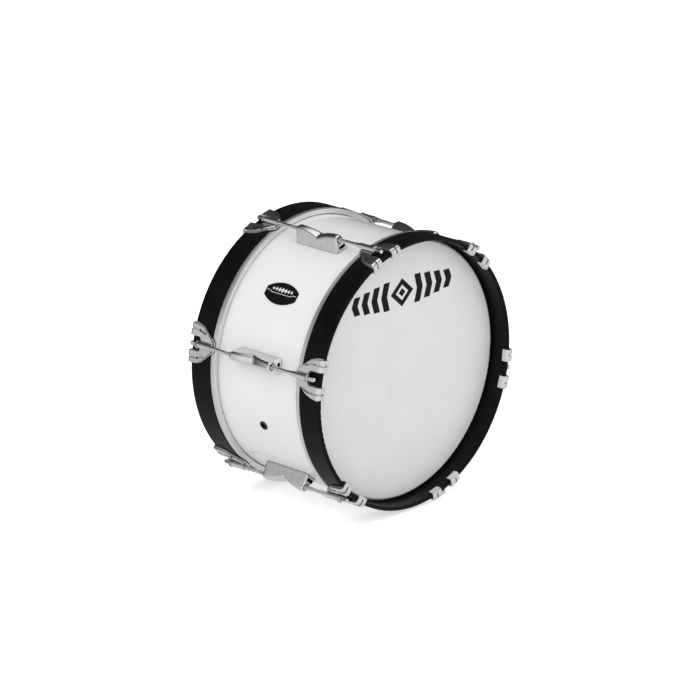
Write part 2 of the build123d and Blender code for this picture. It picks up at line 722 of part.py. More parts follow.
def claw():
    """The claw casting: a raised body on a thin flange, and the tube for its tension rod."""
    body = claw_layer(hook_profile(), CLAW_FLANGE_WIDTH)
    body = fillet([edge for edge in body.edges() if is_visible_rim(edge)], CLAW_RIM_ROUND)
    flange = claw_layer(flange_profile(), 0.0)
    tube = rod_cylinder(TUBE_RADIUS, CLAW_APEX_DEPTH - 1, TUBE_OUTER_DEPTH)
    tube = fillet(tube.edges().sort_by(Axis.Y)[-1], TUBE_ROUND)
    stub = rod_cylinder(STUB_RADIUS, STUB_DEPTH, CLAW_APEX_DEPTH)
    stub = chamfer(stub.edges().sort_by(Axis.Y)[0], STUB_CHAMFER)
    bore = rod_cylinder(ROD_RADIUS + RUN_GAP, STUB_DEPTH - PAST, TUBE_OUTER_DEPTH + PAST)
    return body + flange + tube + stub - bore - claw_recesses()


def claw_liner():
    """The soft strip that keeps a claw off its hoop."""
    start = HOOP_INNER_DEPTH + 0.5
    inner = HOOP_RADIUS + TOUCH_GAP
    outer = inner + LINER_WALL
    near = HOOP_OUTER_DEPTH + TOUCH_GAP
    far = near + LINER_WALL
    low = HOOP_INNER_RADIUS + 1
    profile = section(
        (inner, start),
        (outer, start),
        (outer, far),
        (low, far),
        (low, near),
        (inner, near),
    )
    strip = turned(profile, CLAW_SPREAD)
    strip = strip & radial_prism(claw_outline(0.8), LIP_INNER_RADIUS, REACH)
    return strip - radial_prism(claw_window(0.8), LIP_INNER_RADIUS, REACH)


def rod_washer():
    """The washer between a tension rod's collar and its claw."""
    start = TUBE_OUTER_DEPTH + TOUCH_GAP
    end = start + ROD_WASHER_WALL
    disc = rod_cylinder(ROD_WASHER_RADIUS, start, end)
    disc = fillet(disc.edges(), ROD_WASHER_ROUND)
    return disc - rod_cylinder(ROD_RADIUS + RUN_GAP, start - 1, end + 1)


def tension_rod():
    """A tension rod: shank, collar and square key head."""
    shank = rod_cylinder(ROD_RADIUS, ROD_TIP_DEPTH, ROD_SEAT + 1)
    shank = chamfer(shank.edges().sort_by(Axis.Y)[0], ROD_TIP_CHAMFER)
    collar = rod_cylinder(ROD_COLLAR_RADIUS, ROD_SEAT, ROD_SEAT + ROD_COLLAR_LENGTH)
    collar = fillet(collar.edges().sort_by(Axis.Y)[-1], ROD_COLLAR_ROUND)
    head_end = ROD_SEAT + ROD_COLLAR_LENGTH + KEY_LENGTH
    square = Box(KEY_WIDTH, 2 * (head_end - ROD_SEAT), KEY_WIDTH)
    nose = rod_cylinder(KEY_CORNER_RADIUS, ROD_SEAT, head_end)
    nose = chamfer(nose.edges().sort_by(Axis.Y)[-1], KEY_CHAMFER)
    key = nose & Pos(0, head_end, ROD_AXIS_RADIUS) * square
    return shank + collar + key


# Assembly

parts = {
    "shell_plies": shell_plies(),
    "shell_wrap": shell_wrap(),
    "badge_plate": badge_plate(),
    "vent_grommet": vent_grommet(),
    "lug_gaskets": group(at_every_lug(lug_gasket())),
    "swivel_nuts": group(at_every_lug(swivel_nut(), SIDES)),
    "nut_retainers": group(at_every_lug(nut_retainer(), SIDES)),
    "lug_screws": group(at_every_lug(lug_screw(), SIDES)),
    "lug_washers": group(at_every_lug(lug_washer(), SIDES)),
}
rings = {
    "head_film": head_film(),
    "flesh_hoop": flesh_hoop(),
    "channel_resin": channel_resin(),
    "counter_hoop": counter_hoop(),
}
lugs = at_every_lug(lug())
claws = at_every_lug(claw(), SIDES)
liners = at_every_lug(claw_liner(), SIDES)
rods = at_every_lug(tension_rod(), SIDES)
washers = at_every_lug(rod_washer(), SIDES)

for number, shape in enumerate(lugs, start=1):
    parts[f"lug_{number}"] = shape
for place_in_list, side in enumerate(SIDES):
    first = place_in_list * LUG_COUNT
    for name, shape in rings.items():
        parts[f"{side}_{name}"] = place(shape, 0, side)
    for number in range(LUG_COUNT):
        parts[f"{side}_claw_{number + 1}"] = claws[first + number]
        parts[f"{side}_tension_rod_{number + 1}"] = rods[first + number]
    parts[f"{side}_claw_liners"] = group(liners[first : first + LUG_COUNT])
    parts[f"{side}_rod_washers"] = group(washers[first : first + LUG_COUNT])

os.makedirs("parts", exist_ok=True)
for name, shape in parts.items():
    export_step(shape, f"parts/{name}.step")
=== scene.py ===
"""The looks of a marching bass drum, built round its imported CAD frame.

The frame gives every place: the drum's axis lies along Y, its middle is at the origin and
the front head faces -Y. Lengths are in metres. A place round the drum is an angle,
clockwise from the top as seen from the front.
"""

import json
import math

import bmesh
import bpy
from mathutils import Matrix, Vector


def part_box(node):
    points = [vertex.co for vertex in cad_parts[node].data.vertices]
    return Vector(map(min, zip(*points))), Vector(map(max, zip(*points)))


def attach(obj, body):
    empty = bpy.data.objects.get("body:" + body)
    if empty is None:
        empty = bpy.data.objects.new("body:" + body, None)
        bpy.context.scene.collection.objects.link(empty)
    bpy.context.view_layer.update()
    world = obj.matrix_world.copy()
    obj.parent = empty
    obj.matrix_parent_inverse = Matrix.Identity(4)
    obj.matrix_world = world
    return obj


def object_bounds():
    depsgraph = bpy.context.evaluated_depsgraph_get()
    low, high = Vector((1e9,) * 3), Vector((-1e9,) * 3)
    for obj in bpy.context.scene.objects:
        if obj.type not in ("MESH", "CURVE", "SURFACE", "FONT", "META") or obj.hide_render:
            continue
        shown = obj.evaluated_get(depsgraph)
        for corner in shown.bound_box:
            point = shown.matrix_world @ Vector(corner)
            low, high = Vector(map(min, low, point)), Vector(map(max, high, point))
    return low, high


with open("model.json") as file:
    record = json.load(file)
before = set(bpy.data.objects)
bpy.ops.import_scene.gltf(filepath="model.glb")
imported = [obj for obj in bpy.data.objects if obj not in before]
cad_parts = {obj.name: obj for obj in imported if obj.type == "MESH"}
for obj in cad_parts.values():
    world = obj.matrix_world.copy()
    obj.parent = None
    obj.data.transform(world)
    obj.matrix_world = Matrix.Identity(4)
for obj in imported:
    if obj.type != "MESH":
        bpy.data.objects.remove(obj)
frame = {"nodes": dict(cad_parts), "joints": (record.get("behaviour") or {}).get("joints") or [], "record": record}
cad_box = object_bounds()

MM = 0.001
# The range that most of a noise texture's values fall in.
MIDDLE = (0.3, 0.7)
SIDES = {"front": -1, "rear": 1}
LUG_COUNT = 6


# ---------------------------------------------------------------- material helpers


class Recipe:
    """A material under construction: a Principled shader and the nodes that feed it."""

    def __init__(self, name, metallic=0.0, **values):
        self.material = bpy.data.materials.new(name)
        self.material.use_nodes = True
        self.tree = self.material.node_tree
        self.shader = self.tree.nodes["Principled BSDF"]
        self.place = self.node("ShaderNodeTexCoord").outputs["Object"]
        self.feed(Metallic=metallic)
        for key, value in values.items():
            self.feed(**{key.replace("_", " "): value})

    def node(self, kind, values=None, **settings):
        """A new node. Values are numbers or other nodes' outputs, by input name or number."""
        made = self.tree.nodes.new(kind)
        for key, value in settings.items():
            setattr(made, key, value)
        for key, value in (values or {}).items():
            self.connect(value, made.inputs[key])
        return made

    def connect(self, value, socket):
        if isinstance(value, bpy.types.NodeSocket):
            self.tree.links.new(value, socket)
        else:
            socket.default_value = value

    def feed(self, **inputs):
        """Sets the shader's inputs. A name's spaces are given as underscores."""
        for key, value in inputs.items():
            self.connect(value, self.shader.inputs[key.replace("_", " ")])

    def math(self, operation, first, second=0.0):
        return self.node("ShaderNodeMath", {0: first, 1: second}, operation=operation).outputs[0]

    def noise(self, size, detail=3.0, where=None, rough=0.5):
        """Cloudy noise from 0 to 1 whose blobs are about size metres across."""
        values = {"Vector": where or self.place, "Scale": 1.0 / size, "Detail": detail}
        values["Roughness"] = rough
        return self.node("ShaderNodeTexNoise", values).outputs["Fac"]

    def spread(self, value, source=MIDDLE, target=(0.0, 1.0)):
        """The value, stretched from one range to another and held inside it."""
        values = {0: value, 1: source[0], 2: source[1], 3: target[0], 4: target[1]}
        return self.node("ShaderNodeMapRange", values).outputs[0]

    def blend(self, share, first, second):
        """A colour between two, each a grey level, an RGB triple or a node's output."""
        values = {"Factor": share, 6: rgba(first), 7: rgba(second)}
        return self.node("ShaderNodeMix", values, data_type="RGBA").outputs[2]

    def relief(self, *layers):
        """Bump from (height, depth in metres) layers, the finest last."""
        normal = None
        for height, depth in layers:
            values = {"Height": height, "Distance": depth, "Strength": 1.0}
            if normal:
                values["Normal"] = normal
            normal = self.node("ShaderNodeBump", values).outputs[0]
        self.feed(Normal=normal)

    def crevices(self, reach):
        """1 in the open and less in corners closer than reach."""
        return self.node("ShaderNodeAmbientOcclusion", {"Distance": reach}, samples=6).outputs["AO"]

    def round_the_drum(self, along=1.0):
        """Coordinates that follow the drum's wall: arc length, depth and radius.

        A small value of along draws a pattern out round the drum.
        """
        parts = self.node("ShaderNodeSeparateXYZ", {0: self.place}).outputs
        angle = self.math("ARCTAN2", parts[0], parts[2])
        arc = self.math("MULTIPLY", angle, WALL_RADIUS * along)
        squares = [self.math("POWER", parts[axis], 2.0) for axis in (0, 2)]
        radius = self.math("SQRT", self.math("ADD", *squares))
        return self.node("ShaderNodeCombineXYZ", {0: arc, 1: parts[1], 2: radius}).outputs[0]


def rgba(colour):
    """A grey level or an RGB triple as a node's colour value. An output passes through."""
    if isinstance(colour, bpy.types.NodeSocket):
        return colour
    if isinstance(colour, (int, float)):
        return (colour, colour, colour, 1.0)
    return (*colour, 1.0)


# ---------------------------------------------------------------- sizes from the frame

badge_low, badge_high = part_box("badge_plate")
WALL_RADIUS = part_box("shell_wrap")[1].z
FILM_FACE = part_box("front_head_film")[0].y
JOINTS = {joint["name"]: joint for joint in frame["joints"]}


# ---------------------------------------------------------------- materials


def white_wrap():
    """Glossy white sheet: faint clouding, a very slight orange peel and a few hairline rubs."""
    m = Recipe("white_wrap", Coat_Weight=0.3, Coat_Roughness=0.04)
    clouds = m.spread(m.noise(90 * MM, 2.0))
    m.feed(Base_Color=m.blend(clouds, (0.855, 0.862, 0.858), (0.885, 0.89, 0.886)))
    rubs = m.noise(4 * MM, 6.0, m.round_the_drum(0.08), 0.7)
    m.feed(Roughness=m.spread(rubs, (0.45, 0.75), (0.12, 0.3)))
    m.relief((m.noise(6 * MM, 1.0), 0.01 * MM), (rubs, 0.004 * MM))
    return m.material


def birch_ply():
    """Bare plies: long grain round the shell, darker glue lines through the wall."""
    m = Recipe("birch_ply", Roughness=0.55)
    grain = m.noise(2.5 * MM, 6.0, m.round_the_drum(0.05), 0.65)
    figure = m.noise(30 * MM, 3.0, m.round_the_drum(0.25))
    timber = m.blend(m.spread(figure), (0.62, 0.44, 0.25), (0.78, 0.6, 0.38))
    fleck = m.spread(grain, (0.55, 0.75), (0, 0.5))
    m.feed(Base_Color=m.blend(fleck, timber, (0.4, 0.26, 0.13)))
    m.feed(Roughness=m.spread(grain, MIDDLE, (0.4, 0.65)))
    m.relief((grain, 0.08 * MM))
    return m.material


def hoop_lacquer():
    """Black satin lacquer: wood grain showing through, a soft bloom and rubbed patches."""
    m = Recipe("hoop_lacquer", Specular_IOR_Level=0.09)
    grain = m.noise(1.6 * MM, 5.0, m.round_the_drum(0.04), 0.6)
    bloom = m.noise(35 * MM, 3.0)
    dust = m.noise(1.1 * MM, 2.0)
    black = m.blend(m.spread(bloom, (0.35, 0.7)), (0.0035, 0.0035, 0.004), (0.006, 0.0058, 0.0062))
    m.feed(Base_Color=m.blend(m.spread(dust, (0.62, 0.8), (0, 0.35)), black, 0.03))
    m.feed(Roughness=m.spread(bloom, MIDDLE, (0.26, 0.4)))
    m.relief((m.noise(12 * MM, 2.0), 0.06 * MM), (grain, 0.02 * MM))
    return m.material


CREVICE_REACH = 4 * MM
# Painted shade: the near-black colour blended into plated metal's corners and recesses, and how much of it is
# blended in.
PAINTED_SHADE_COLOUR = (0.02, 0.02, 0.02)
PAINTED_SHADE_SHARE = 0.92
CREVICE_ROUGHNESS = 0.25
SMUDGE_DIMMING = 0.88


def plated(name, colour, dull, smudged, ripple):
    """Plated metal: a cast ripple, finger smudges, hairlines and painted shade in the corners, which are also made
    rougher.
    """
    m = Recipe(name, metallic=1.0)
    smudge = m.noise(12 * MM, 4.0, rough=0.6)
    hairline = m.noise(0.9 * MM, 4.0, rough=0.7)
    dimmed = tuple(SMUDGE_DIMMING * part for part in colour)
    bright = m.blend(m.spread(smudge, (0.35, 0.7)), colour, dimmed)
    # Painted shade: corners closer than CREVICE_REACH are darkened towards near black, and they are also made
    # rougher.
    crevice_shade_mask = m.spread(m.crevices(CREVICE_REACH), (0.3, 0.9), (1.0, 0.0))
    m.feed(Base_Color=m.blend(m.math("MULTIPLY", crevice_shade_mask, PAINTED_SHADE_SHARE), bright, PAINTED_SHADE_COLOUR))
    streaks = m.spread(hairline, (0.5, 0.8), (0, 0.06))
    rough = m.math("ADD", m.spread(smudge, (0.35, 0.75), (dull, smudged)), streaks)
    m.feed(Roughness=m.math("ADD", rough, m.math("MULTIPLY", crevice_shade_mask, CREVICE_ROUGHNESS)))
    m.relief((m.noise(9 * MM, 1.5), ripple), (hairline, 0.002 * MM))
    return m.material


def turned_aluminium():
    """Satin extrusion: fine draw lines all the way round, with dull and bright stretches."""
    m = Recipe("flesh_aluminium", metallic=1.0)
    lines = m.noise(0.7 * MM, 3.0, m.round_the_drum(0.01), 0.6)
    stretches = m.noise(30 * MM, 2.0, m.round_the_drum(0.5))
    share = m.spread(stretches)
    m.feed(Base_Color=m.blend(share, (0.78, 0.79, 0.8), (0.88, 0.88, 0.89)))
    m.feed(Roughness=m.spread(lines, MIDDLE, (0.3, 0.45)))
    m.relief((lines, 0.012 * MM))
    return m.material


def white_film():
    """A smooth white head: an even coat with very fine stipple and faint mallet rubs."""
    m = Recipe("head_film", IOR=1.45, Coat_Weight=0.15, Coat_Roughness=0.3)
    stipple = m.noise(0.6 * MM, 2.0)
    clouds = m.noise(60 * MM, 3.0)
    rubs = m.noise(14 * MM, 5.0, rough=0.65)
    white = m.blend(m.spread(clouds), (0.785, 0.8, 0.79), (0.82, 0.832, 0.825))
    m.feed(Base_Color=m.blend(m.spread(rubs, (0.6, 0.8), (0, 0.12)), white, (0.68, 0.69, 0.69)))
    m.feed(Roughness=m.spread(rubs, (0.4, 0.75), (0.42, 0.3)))
    m.feed(Subsurface_Weight=0.08, Subsurface_Radius=[2 * MM] * 3)
    m.relief((stipple, 0.015 * MM))
    return m.material


def moulded(name, colour, dark, rough, grain_size, depth):
    """Rubber, nylon or resin: uneven colour and a fine moulded or cast grain."""
    m = Recipe(name)
    clouds = m.noise(12 * grain_size, 3.0)
    grain = m.noise(grain_size, 3.0)
    m.feed(Base_Color=m.blend(m.spread(clouds), dark, colour))
    m.feed(Roughness=m.spread(grain, MIDDLE, (rough, rough + 0.2)))
    m.relief((grain, depth))
    return m.material


def enamel(name, colour, sparkle, shine, coat):
    """Hard enamel or ink with a faint stipple."""
    m = Recipe(name, Specular_IOR_Level=shine, Coat_Weight=coat, Coat_Roughness=0.08)
    stipple = m.noise(0.8 * MM, 3.0)
    clouds = m.noise(12 * MM, 2.0)
    m.feed(Base_Color=m.blend(m.spread(clouds), colour, sparkle))
    m.feed(Roughness=m.spread(stipple, MIDDLE, (0.22, 0.36)))
    m.relief((stipple, 0.008 * MM))
    return m.material


def machined(name, colour, rough):
    """Zinc-plated or bare turned metal with fine tool marks."""
    m = Recipe(name, metallic=1.0)
    marks = m.noise(0.5 * MM, 4.0, rough=0.7)
    clouds = m.noise(6 * MM, 3.0)
    dimmed = tuple(0.8 * part for part in colour)
    m.feed(Base_Color=m.blend(m.spread(clouds), colour, dimmed))
    m.feed(Roughness=m.spread(marks, MIDDLE, (rough, rough + 0.18)))
    m.relief((marks, 0.01 * MM))
    return m.material


RUBBER_BLACK = (0.03, 0.03, 0.03)
RUBBER_GREY = (0.05, 0.05, 0.05)
NYLON = (0.85, 0.84, 0.78)
NYLON_SHADE = (0.78, 0.77, 0.7)
AMBER = (0.7, 0.52, 0.26)
AMBER_SHADE = (0.55, 0.38, 0.17)
BLACK = (0.003, 0.003, 0.0032)
BLACK_WORN = (0.006, 0.006, 0.006)
SILVER = (0.78, 0.79, 0.8)
SILVER_WORN = (0.6, 0.61, 0.62)

MATERIALS = {
    "birch_ply": birch_ply(),
    "white_wrap": white_wrap(),
    "badge_enamel": enamel("badge_enamel", BLACK, BLACK_WORN, 0.2, 0.06),
    "grommet_black": moulded("grommet_black", BLACK_WORN, BLACK, 0.4, 0.6 * MM, 0.01 * MM),
    "lug_chrome": plated("lug_chrome", (0.8, 0.81, 0.82), 0.05, 0.11, 0.01 * MM),
    "gasket_rubber": moulded("gasket_rubber", RUBBER_GREY, RUBBER_BLACK, 0.6, 0.8 * MM, 0.02 * MM),
    "nut_nickel": plated("nut_nickel", (0.8, 0.8, 0.79), 0.06, 0.14, 0.01 * MM),
    "retainer_nylon": moulded("retainer_nylon", NYLON, NYLON_SHADE, 0.4, 0.6 * MM, 0.01 * MM),
    "screw_steel": machined("screw_steel", (0.68, 0.69, 0.7), 0.18),
    "head_film": white_film(),
    "flesh_aluminium": turned_aluminium(),
    "channel_resin": moulded("channel_resin", AMBER, AMBER_SHADE, 0.25, 1 * MM, 0.01 * MM),
    "hoop_lacquer": hoop_lacquer(),
    "claw_chrome": plated("claw_chrome", (0.84, 0.85, 0.86), 0.04, 0.09, 0.02 * MM),
    "liner_rubber": moulded("liner_rubber", RUBBER_BLACK, (0.02, 0.02, 0.02), 0.6, 0.8 * MM, 0.02 * MM),
    "rod_chrome": plated("rod_chrome", (0.8, 0.8, 0.81), 0.06, 0.12, 0.01 * MM),
    "print_ink": enamel("print_ink", BLACK, BLACK_WORN, 0.12, 0.0),
    "badge_silver": enamel("badge_silver", SILVER, SILVER_WORN, 0.5, 0.2),
}


def dress_frame():
    """Every CAD node's own material, by the record's material slot."""
    for part in frame["record"]["subparts"]:
        node = frame["nodes"][part["node"]]
        node.material_slots[0].material = MATERIALS[part["material_slot"]]


# ---------------------------------------------------------------- mesh helpers


def piece(name, vertices, faces, material, body, smooth=False):
    """A mesh that rides on a CAD body and takes its finish from a record slot."""
    mesh = bpy.data.meshes.new(name)
    mesh.from_pydata(vertices, [], faces)
    shape = bmesh.new()
    shape.from_mesh(mesh)
    bmesh.ops.recalc_face_normals(shape, faces=shape.faces)
    shape.to_mesh(mesh)
    shape.free()
    mesh.polygons.foreach_set("use_smooth", [smooth] * len(mesh.polygons))
    mesh.materials.append(MATERIALS[material])
    made = bpy.data.objects.new(name, mesh)
    bpy.context.scene.collection.objects.link(made)
    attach(made, body)
    return made


def slabs(outlines, place, low, high):
    """Vertices and faces of flat shapes given a thickness.

    Each outline is a list of (across, along) points. Place turns (across, along, height)
    into a point on the drum.
    """
    vertices = []
    faces = []
    for outline in outlines:
        base = len(vertices)
        count = len(outline)
        for height in (low, high):
            vertices += [place(across, along, height) for across, along in outline]
        faces.append([base + i for i in reversed(range(count))])
        faces.append([base + count + i for i in range(count)])
        for i in range(count):
            after = (i + 1) % count
            faces.append([base + i, base + after, base + count + after, base + count + i])
    return vertices, faces


def bands(loops, place, low, high):
    """Vertices and faces of closed ribbons. Each has an outer and an inner outline of equal counts."""
    vertices = []
    faces = []
    for outer, inner in loops:
        base = len(vertices)
        count = len(outer)
        rings = [(outer, low), (outer, high), (inner, high), (inner, low)]
        for outline, height in rings:
            vertices += [place(across, along, height) for across, along in outline]
        for ring in range(len(rings)):
            here = base + ring * count
            there = base + ((ring + 1) % len(rings)) * count
            for i in range(count):
                after = (i + 1) % count
                faces.append([here + i, here + after, there + after, there + i])
    return vertices, faces


def sweep(sections):
    """Vertices and faces of a closed bar through cross-sections of equal counts."""
    vertices = [point for section in sections for point in section]
    count = len(sections[0])
    last = len(vertices) - count
    faces = [list(reversed(range(count))), [last + i for i in range(count)]]
    for start in range(0, last, count):
        for i in range(count):
            here = start + i
            after = start + (i + 1) % count
            faces.append([here, after, after + count, here + count])
    return vertices, faces


# ---------------------------------------------------------------- head ornament

ORNAMENT_CENTRE = Vector((0.0, 0.124))
LOZENGE_HALF_WIDTH = 25 * MM
ORNAMENT_HALF_HEIGHT = 22.5 * MM
BAR_COUNT = 4
BAR_WIDTH = 13 * MM
BAR_PITCH = 21.5 * MM
BAR_START = 27 * MM
BAR_SLANT = 6 * MM
BAR_SHRINK = 0.12
LOZENGE_FRAME_SHARE = 0.55
LOZENGE_CORE_SHARE = 0.3
INK_GAP = 0.02 * MM
INK_WALL = 0.05 * MM


def on_front_head(across, up, height):
    """A point on the front head, seen from the front."""
    return (ORNAMENT_CENTRE.x + across, FILM_FACE - height, ORNAMENT_CENTRE.y + up)


def lozenge(share):
    """A lozenge's corners, scaled about the ornament's centre."""
    wide = LOZENGE_HALF_WIDTH * share
    tall = ORNAMENT_HALF_HEIGHT * share
    return [(-wide, 0), (0, -tall), (wide, 0), (0, tall)]


def head_ornament():
    """A printed row: a lozenge in a lozenge frame, with shrinking slanted bars on both sides."""
    outlines = [lozenge(LOZENGE_CORE_SHARE)]
    for hand in (-1, 1):
        for number in range(BAR_COUNT):
            tall = ORNAMENT_HALF_HEIGHT * (1 - BAR_SHRINK * number)
            start = BAR_START + number * BAR_PITCH
            bar = [
                (start, -tall),
                (start + BAR_WIDTH, -tall),
                (start + BAR_WIDTH + BAR_SLANT, 0),
                (start + BAR_WIDTH, tall),
                (start, tall),
                (start + BAR_SLANT, 0),
            ]
            outline = [(hand * across, up) for across, up in bar]
            outlines.append(outline if hand > 0 else outline[::-1])
    vertices, faces = slabs(outlines, on_front_head, INK_GAP, INK_GAP + INK_WALL)
    frame_loop = (lozenge(1.0), lozenge(LOZENGE_FRAME_SHARE))
    ring = bands([frame_loop], on_front_head, INK_GAP, INK_GAP + INK_WALL)
    faces += [[len(vertices) + i for i in face] for face in ring[1]]
    vertices += ring[0]
    piece("front_head_ornament", vertices, faces, "print_ink", "front_hoop_group")


# ---------------------------------------------------------------- badge

BADGE_ANGLE = math.atan2(badge_low.x + badge_high.x, badge_low.z + badge_high.z)
BADGE_WALL = 0.92 * MM
BADGE_FACE = WALL_RADIUS + BADGE_WALL
BADGE_HALF_LENGTH = badge_high.y
BADGE_HALF_WIDTH = 18 * MM
BADGE_END_HALF_WIDTH = 7 * MM
BADGE_END_LEAN = 0.6
BADGE_RAISE = 0.3 * MM
BADGE_SINK = -0.1 * MM
RIM_OUTER_INSET = 1.2 * MM
RIM_INNER_INSET = 1.6 * MM
LINE_HALF_WIDTH = 0.42 * MM
LINE_END_INSET = 2.2 * MM
LINE_STEP = 1.2 * MM
LINE_STEP_START = 6.5 * MM
LINE_STEP_END = 10.4 * MM
MOTIF_REACH = 3
MOTIF_PITCH = 6.2 * MM
MOTIF_PLACE = 5.4 * MM
MOTIF_HALF_WIDTH = 4.4 * MM
MOTIF_SHRINK = 0.5 * MM
MOTIF_SQUASH = 0.8
MOTIF_RAISE = 0.24 * MM


def on_badge(across, along, height):
    """A point on the badge's curved face. Across runs downward, along runs towards the rear."""
    radius = BADGE_FACE + height
    angle = BADGE_ANGLE - across / BADGE_FACE
    return (radius * math.sin(angle), along, radius * math.cos(angle))


def badge_outline(inset, steps=24):
    """The badge's outline: straight short ends joined by bowed long edges."""
    length = BADGE_HALF_LENGTH - inset
    bow = BADGE_HALF_WIDTH - inset
    end = BADGE_END_HALF_WIDTH - BADGE_END_LEAN * inset
    points = []
    for hand in (-1, 1):
        for step in range(steps + 1):
            along = length * (1 - 2 * step / steps) * hand
            rise = 1 - (along / length) ** 2
            points.append((hand * (end + (bow - end) * rise), along))
    return points


def along_badge(corners, half_width, low, high, steps=12):
    """Cross-sections of a bar along a broken line, close enough together to follow the shell."""
    path = []
    for (a0, l0), (a1, l1) in zip(corners, corners[1:]):
        path += [(a0 + (a1 - a0) * i / steps, l0 + (l1 - l0) * i / steps) for i in range(steps)]
    path.append(corners[-1])
    edges = [(-half_width, low), (half_width, low), (half_width, high), (-half_width, high)]
    return [[on_badge(across + side, along, height) for side, height in edges] for across, along in path]


def badge_trim():
    """The badge's raised rim, its stepped silver middle line and a row of silver lozenges."""
    rim = (badge_outline(RIM_OUTER_INSET), badge_outline(RIM_INNER_INSET))
    vertices, faces = bands([rim], on_badge, BADGE_SINK, BADGE_RAISE)
    piece("badge_edge_line", vertices, faces, "badge_enamel", "shell")
    end = BADGE_HALF_LENGTH - LINE_END_INSET
    corners = [(-LINE_STEP, -end), (-LINE_STEP, LINE_STEP_START - end), (LINE_STEP, LINE_STEP_END - end)]
    corners += [(across, -along) for across, along in reversed(corners)]
    vertices, faces = sweep(along_badge(corners, LINE_HALF_WIDTH, BADGE_SINK, BADGE_RAISE))
    piece("badge_middle_line", vertices, faces, "badge_silver", "shell")
    outlines = []
    for number in range(-MOTIF_REACH, MOTIF_REACH + 1):
        wide = MOTIF_HALF_WIDTH - MOTIF_SHRINK * abs(number)
        tall = MOTIF_SQUASH * wide
        middle = number * MOTIF_PITCH
        corners = [(-wide, 0), (0, -tall), (wide, 0), (0, tall)]
        outlines.append([(across - MOTIF_PLACE, middle + along) for across, along in corners])
    vertices, faces = slabs(outlines, on_badge, BADGE_SINK, MOTIF_RAISE)
    piece("badge_motif", vertices, faces, "badge_silver", "shell")


# ---------------------------------------------------------------- rod threads

THREAD_PITCH = 1.0 * MM
THREAD_LENGTH = 24 * MM
THREAD_START = 1.0 * MM
THREAD_ROOT = 2.96 * MM
THREAD_CREST = 3.16 * MM
THREAD_ROOT_SHARE = 0.46
THREAD_CREST_SHARE = 0.08
THREAD_SEGMENTS = 20


def rod_thread(side, number):
    """The rolled thread on a rod's inner end, as a right-hand ridge round its shank."""
    axis = JOINTS[f"{side}_rod_{number}_turn"]["pos_m"]
    low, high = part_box(f"{side}_tension_rod_{number}")
    sign = SIDES[side]
    tip = low.y if sign > 0 else high.y
    steps = int(THREAD_LENGTH / THREAD_PITCH) * THREAD_SEGMENTS
    sections = []
    for step in range(steps + 1):
        angle = 2 * math.pi * step / THREAD_SEGMENTS
        taper = min(1.0, step / THREAD_SEGMENTS, (steps - step) / THREAD_SEGMENTS)
        crest = THREAD_ROOT + (THREAD_CREST - THREAD_ROOT) * taper
        depth = THREAD_START + THREAD_PITCH * step / THREAD_SEGMENTS
        profile = [
            (THREAD_ROOT, -THREAD_ROOT_SHARE * THREAD_PITCH),
            (crest, -THREAD_CREST_SHARE * THREAD_PITCH),
            (crest, THREAD_CREST_SHARE * THREAD_PITCH),
            (THREAD_ROOT, THREAD_ROOT_SHARE * THREAD_PITCH),
        ]
        section = []
        for radius, offset in profile:
            across = radius * math.cos(angle)
            up = radius * math.sin(angle) * -sign
            section.append((axis[0] + across, tip + sign * (depth + offset), axis[2] + up))
        sections.append(section)
    vertices, faces = sweep(sections)
    body = f"{side}_rod_{number}"
    piece(f"{side}_rod_thread_{number}", vertices, faces, "rod_chrome", body, smooth=True)


# ---------------------------------------------------------------- stage

CAMERA_AZIMUTH = math.radians(-46.44)
CAMERA_ELEVATION = math.radians(18.415)
CAMERA_DISTANCE = 7.80
CAMERA_LENS = 262.0
SENSOR_WIDTH = 36.0
CAMERA_REACH = 100.0
CAMERA_SHIFT = (-2.6 * MM, 7.8 * MM)
FLOOR_HALF_WIDTH = 20.0
FLOOR_GAP = 0.6 * MM
FLOOR_GLOW = 0.58
OPEN_LIGHT = 0.86
# Soft boxes: name, azimuth and elevation in degrees, distance and size in metres, watts.
SOFT_BOXES = [
    ("key", -80, 50, 3.0, 1.6, 14),
    ("fill", 10, 25, 3.5, 2.0, 7),
]
# What mirror surfaces see: (azimuth from the rear towards the right, brightness) all round,
# with a lit ceiling above and a pale floor below.
WALLS = [
    (-180, 0.85),
    (-110, 0.85),
    (-68, 0.8),
    (-50, 0.62),
    (-38, 0.38),
    (-25, 0.26),
    (-12, 0.12),
    (0, 0.05),
    (62, 0.05),
    (88, 0.35),
    (115, 0.8),
]
CEILING_FROM = 50.0
CEILING_FULL = 72.0
CEILING_LIGHT = 1.1
HIGH_WALL_FROM = 14.0
HIGH_WALL_FULL = 30.0
HIGH_WALL_SHARE = 0.4
HIGH_WALL_LIGHT = 0.05
FLOOR_FROM = -14.0
FLOOR_FULL = -26.0
FLOOR_LIGHT = 0.66


def add_camera():
    """A long lens, looking down at the front left of the drum."""
    level = math.cos(CAMERA_ELEVATION)
    back = Vector(
        (
            math.sin(CAMERA_AZIMUTH) * level,
            -math.cos(CAMERA_AZIMUTH) * level,
            math.sin(CAMERA_ELEVATION),
        )
    )
    right = Vector((math.cos(CAMERA_AZIMUTH), math.sin(CAMERA_AZIMUTH), 0.0))
    up = back.cross(right)
    data = bpy.data.cameras.new("camera")
    data.lens = CAMERA_LENS
    data.sensor_width = SENSOR_WIDTH
    data.clip_end = CAMERA_REACH
    camera = bpy.data.objects.new("camera", data)
    bpy.context.scene.collection.objects.link(camera)
    camera.location = back * CAMERA_DISTANCE + right * CAMERA_SHIFT[0] + up * CAMERA_SHIFT[1]
    camera.rotation_mode = "QUATERNION"
    camera.rotation_quaternion = (-back).to_track_quat("-Z", "Y")
    bpy.context.scene.camera = camera


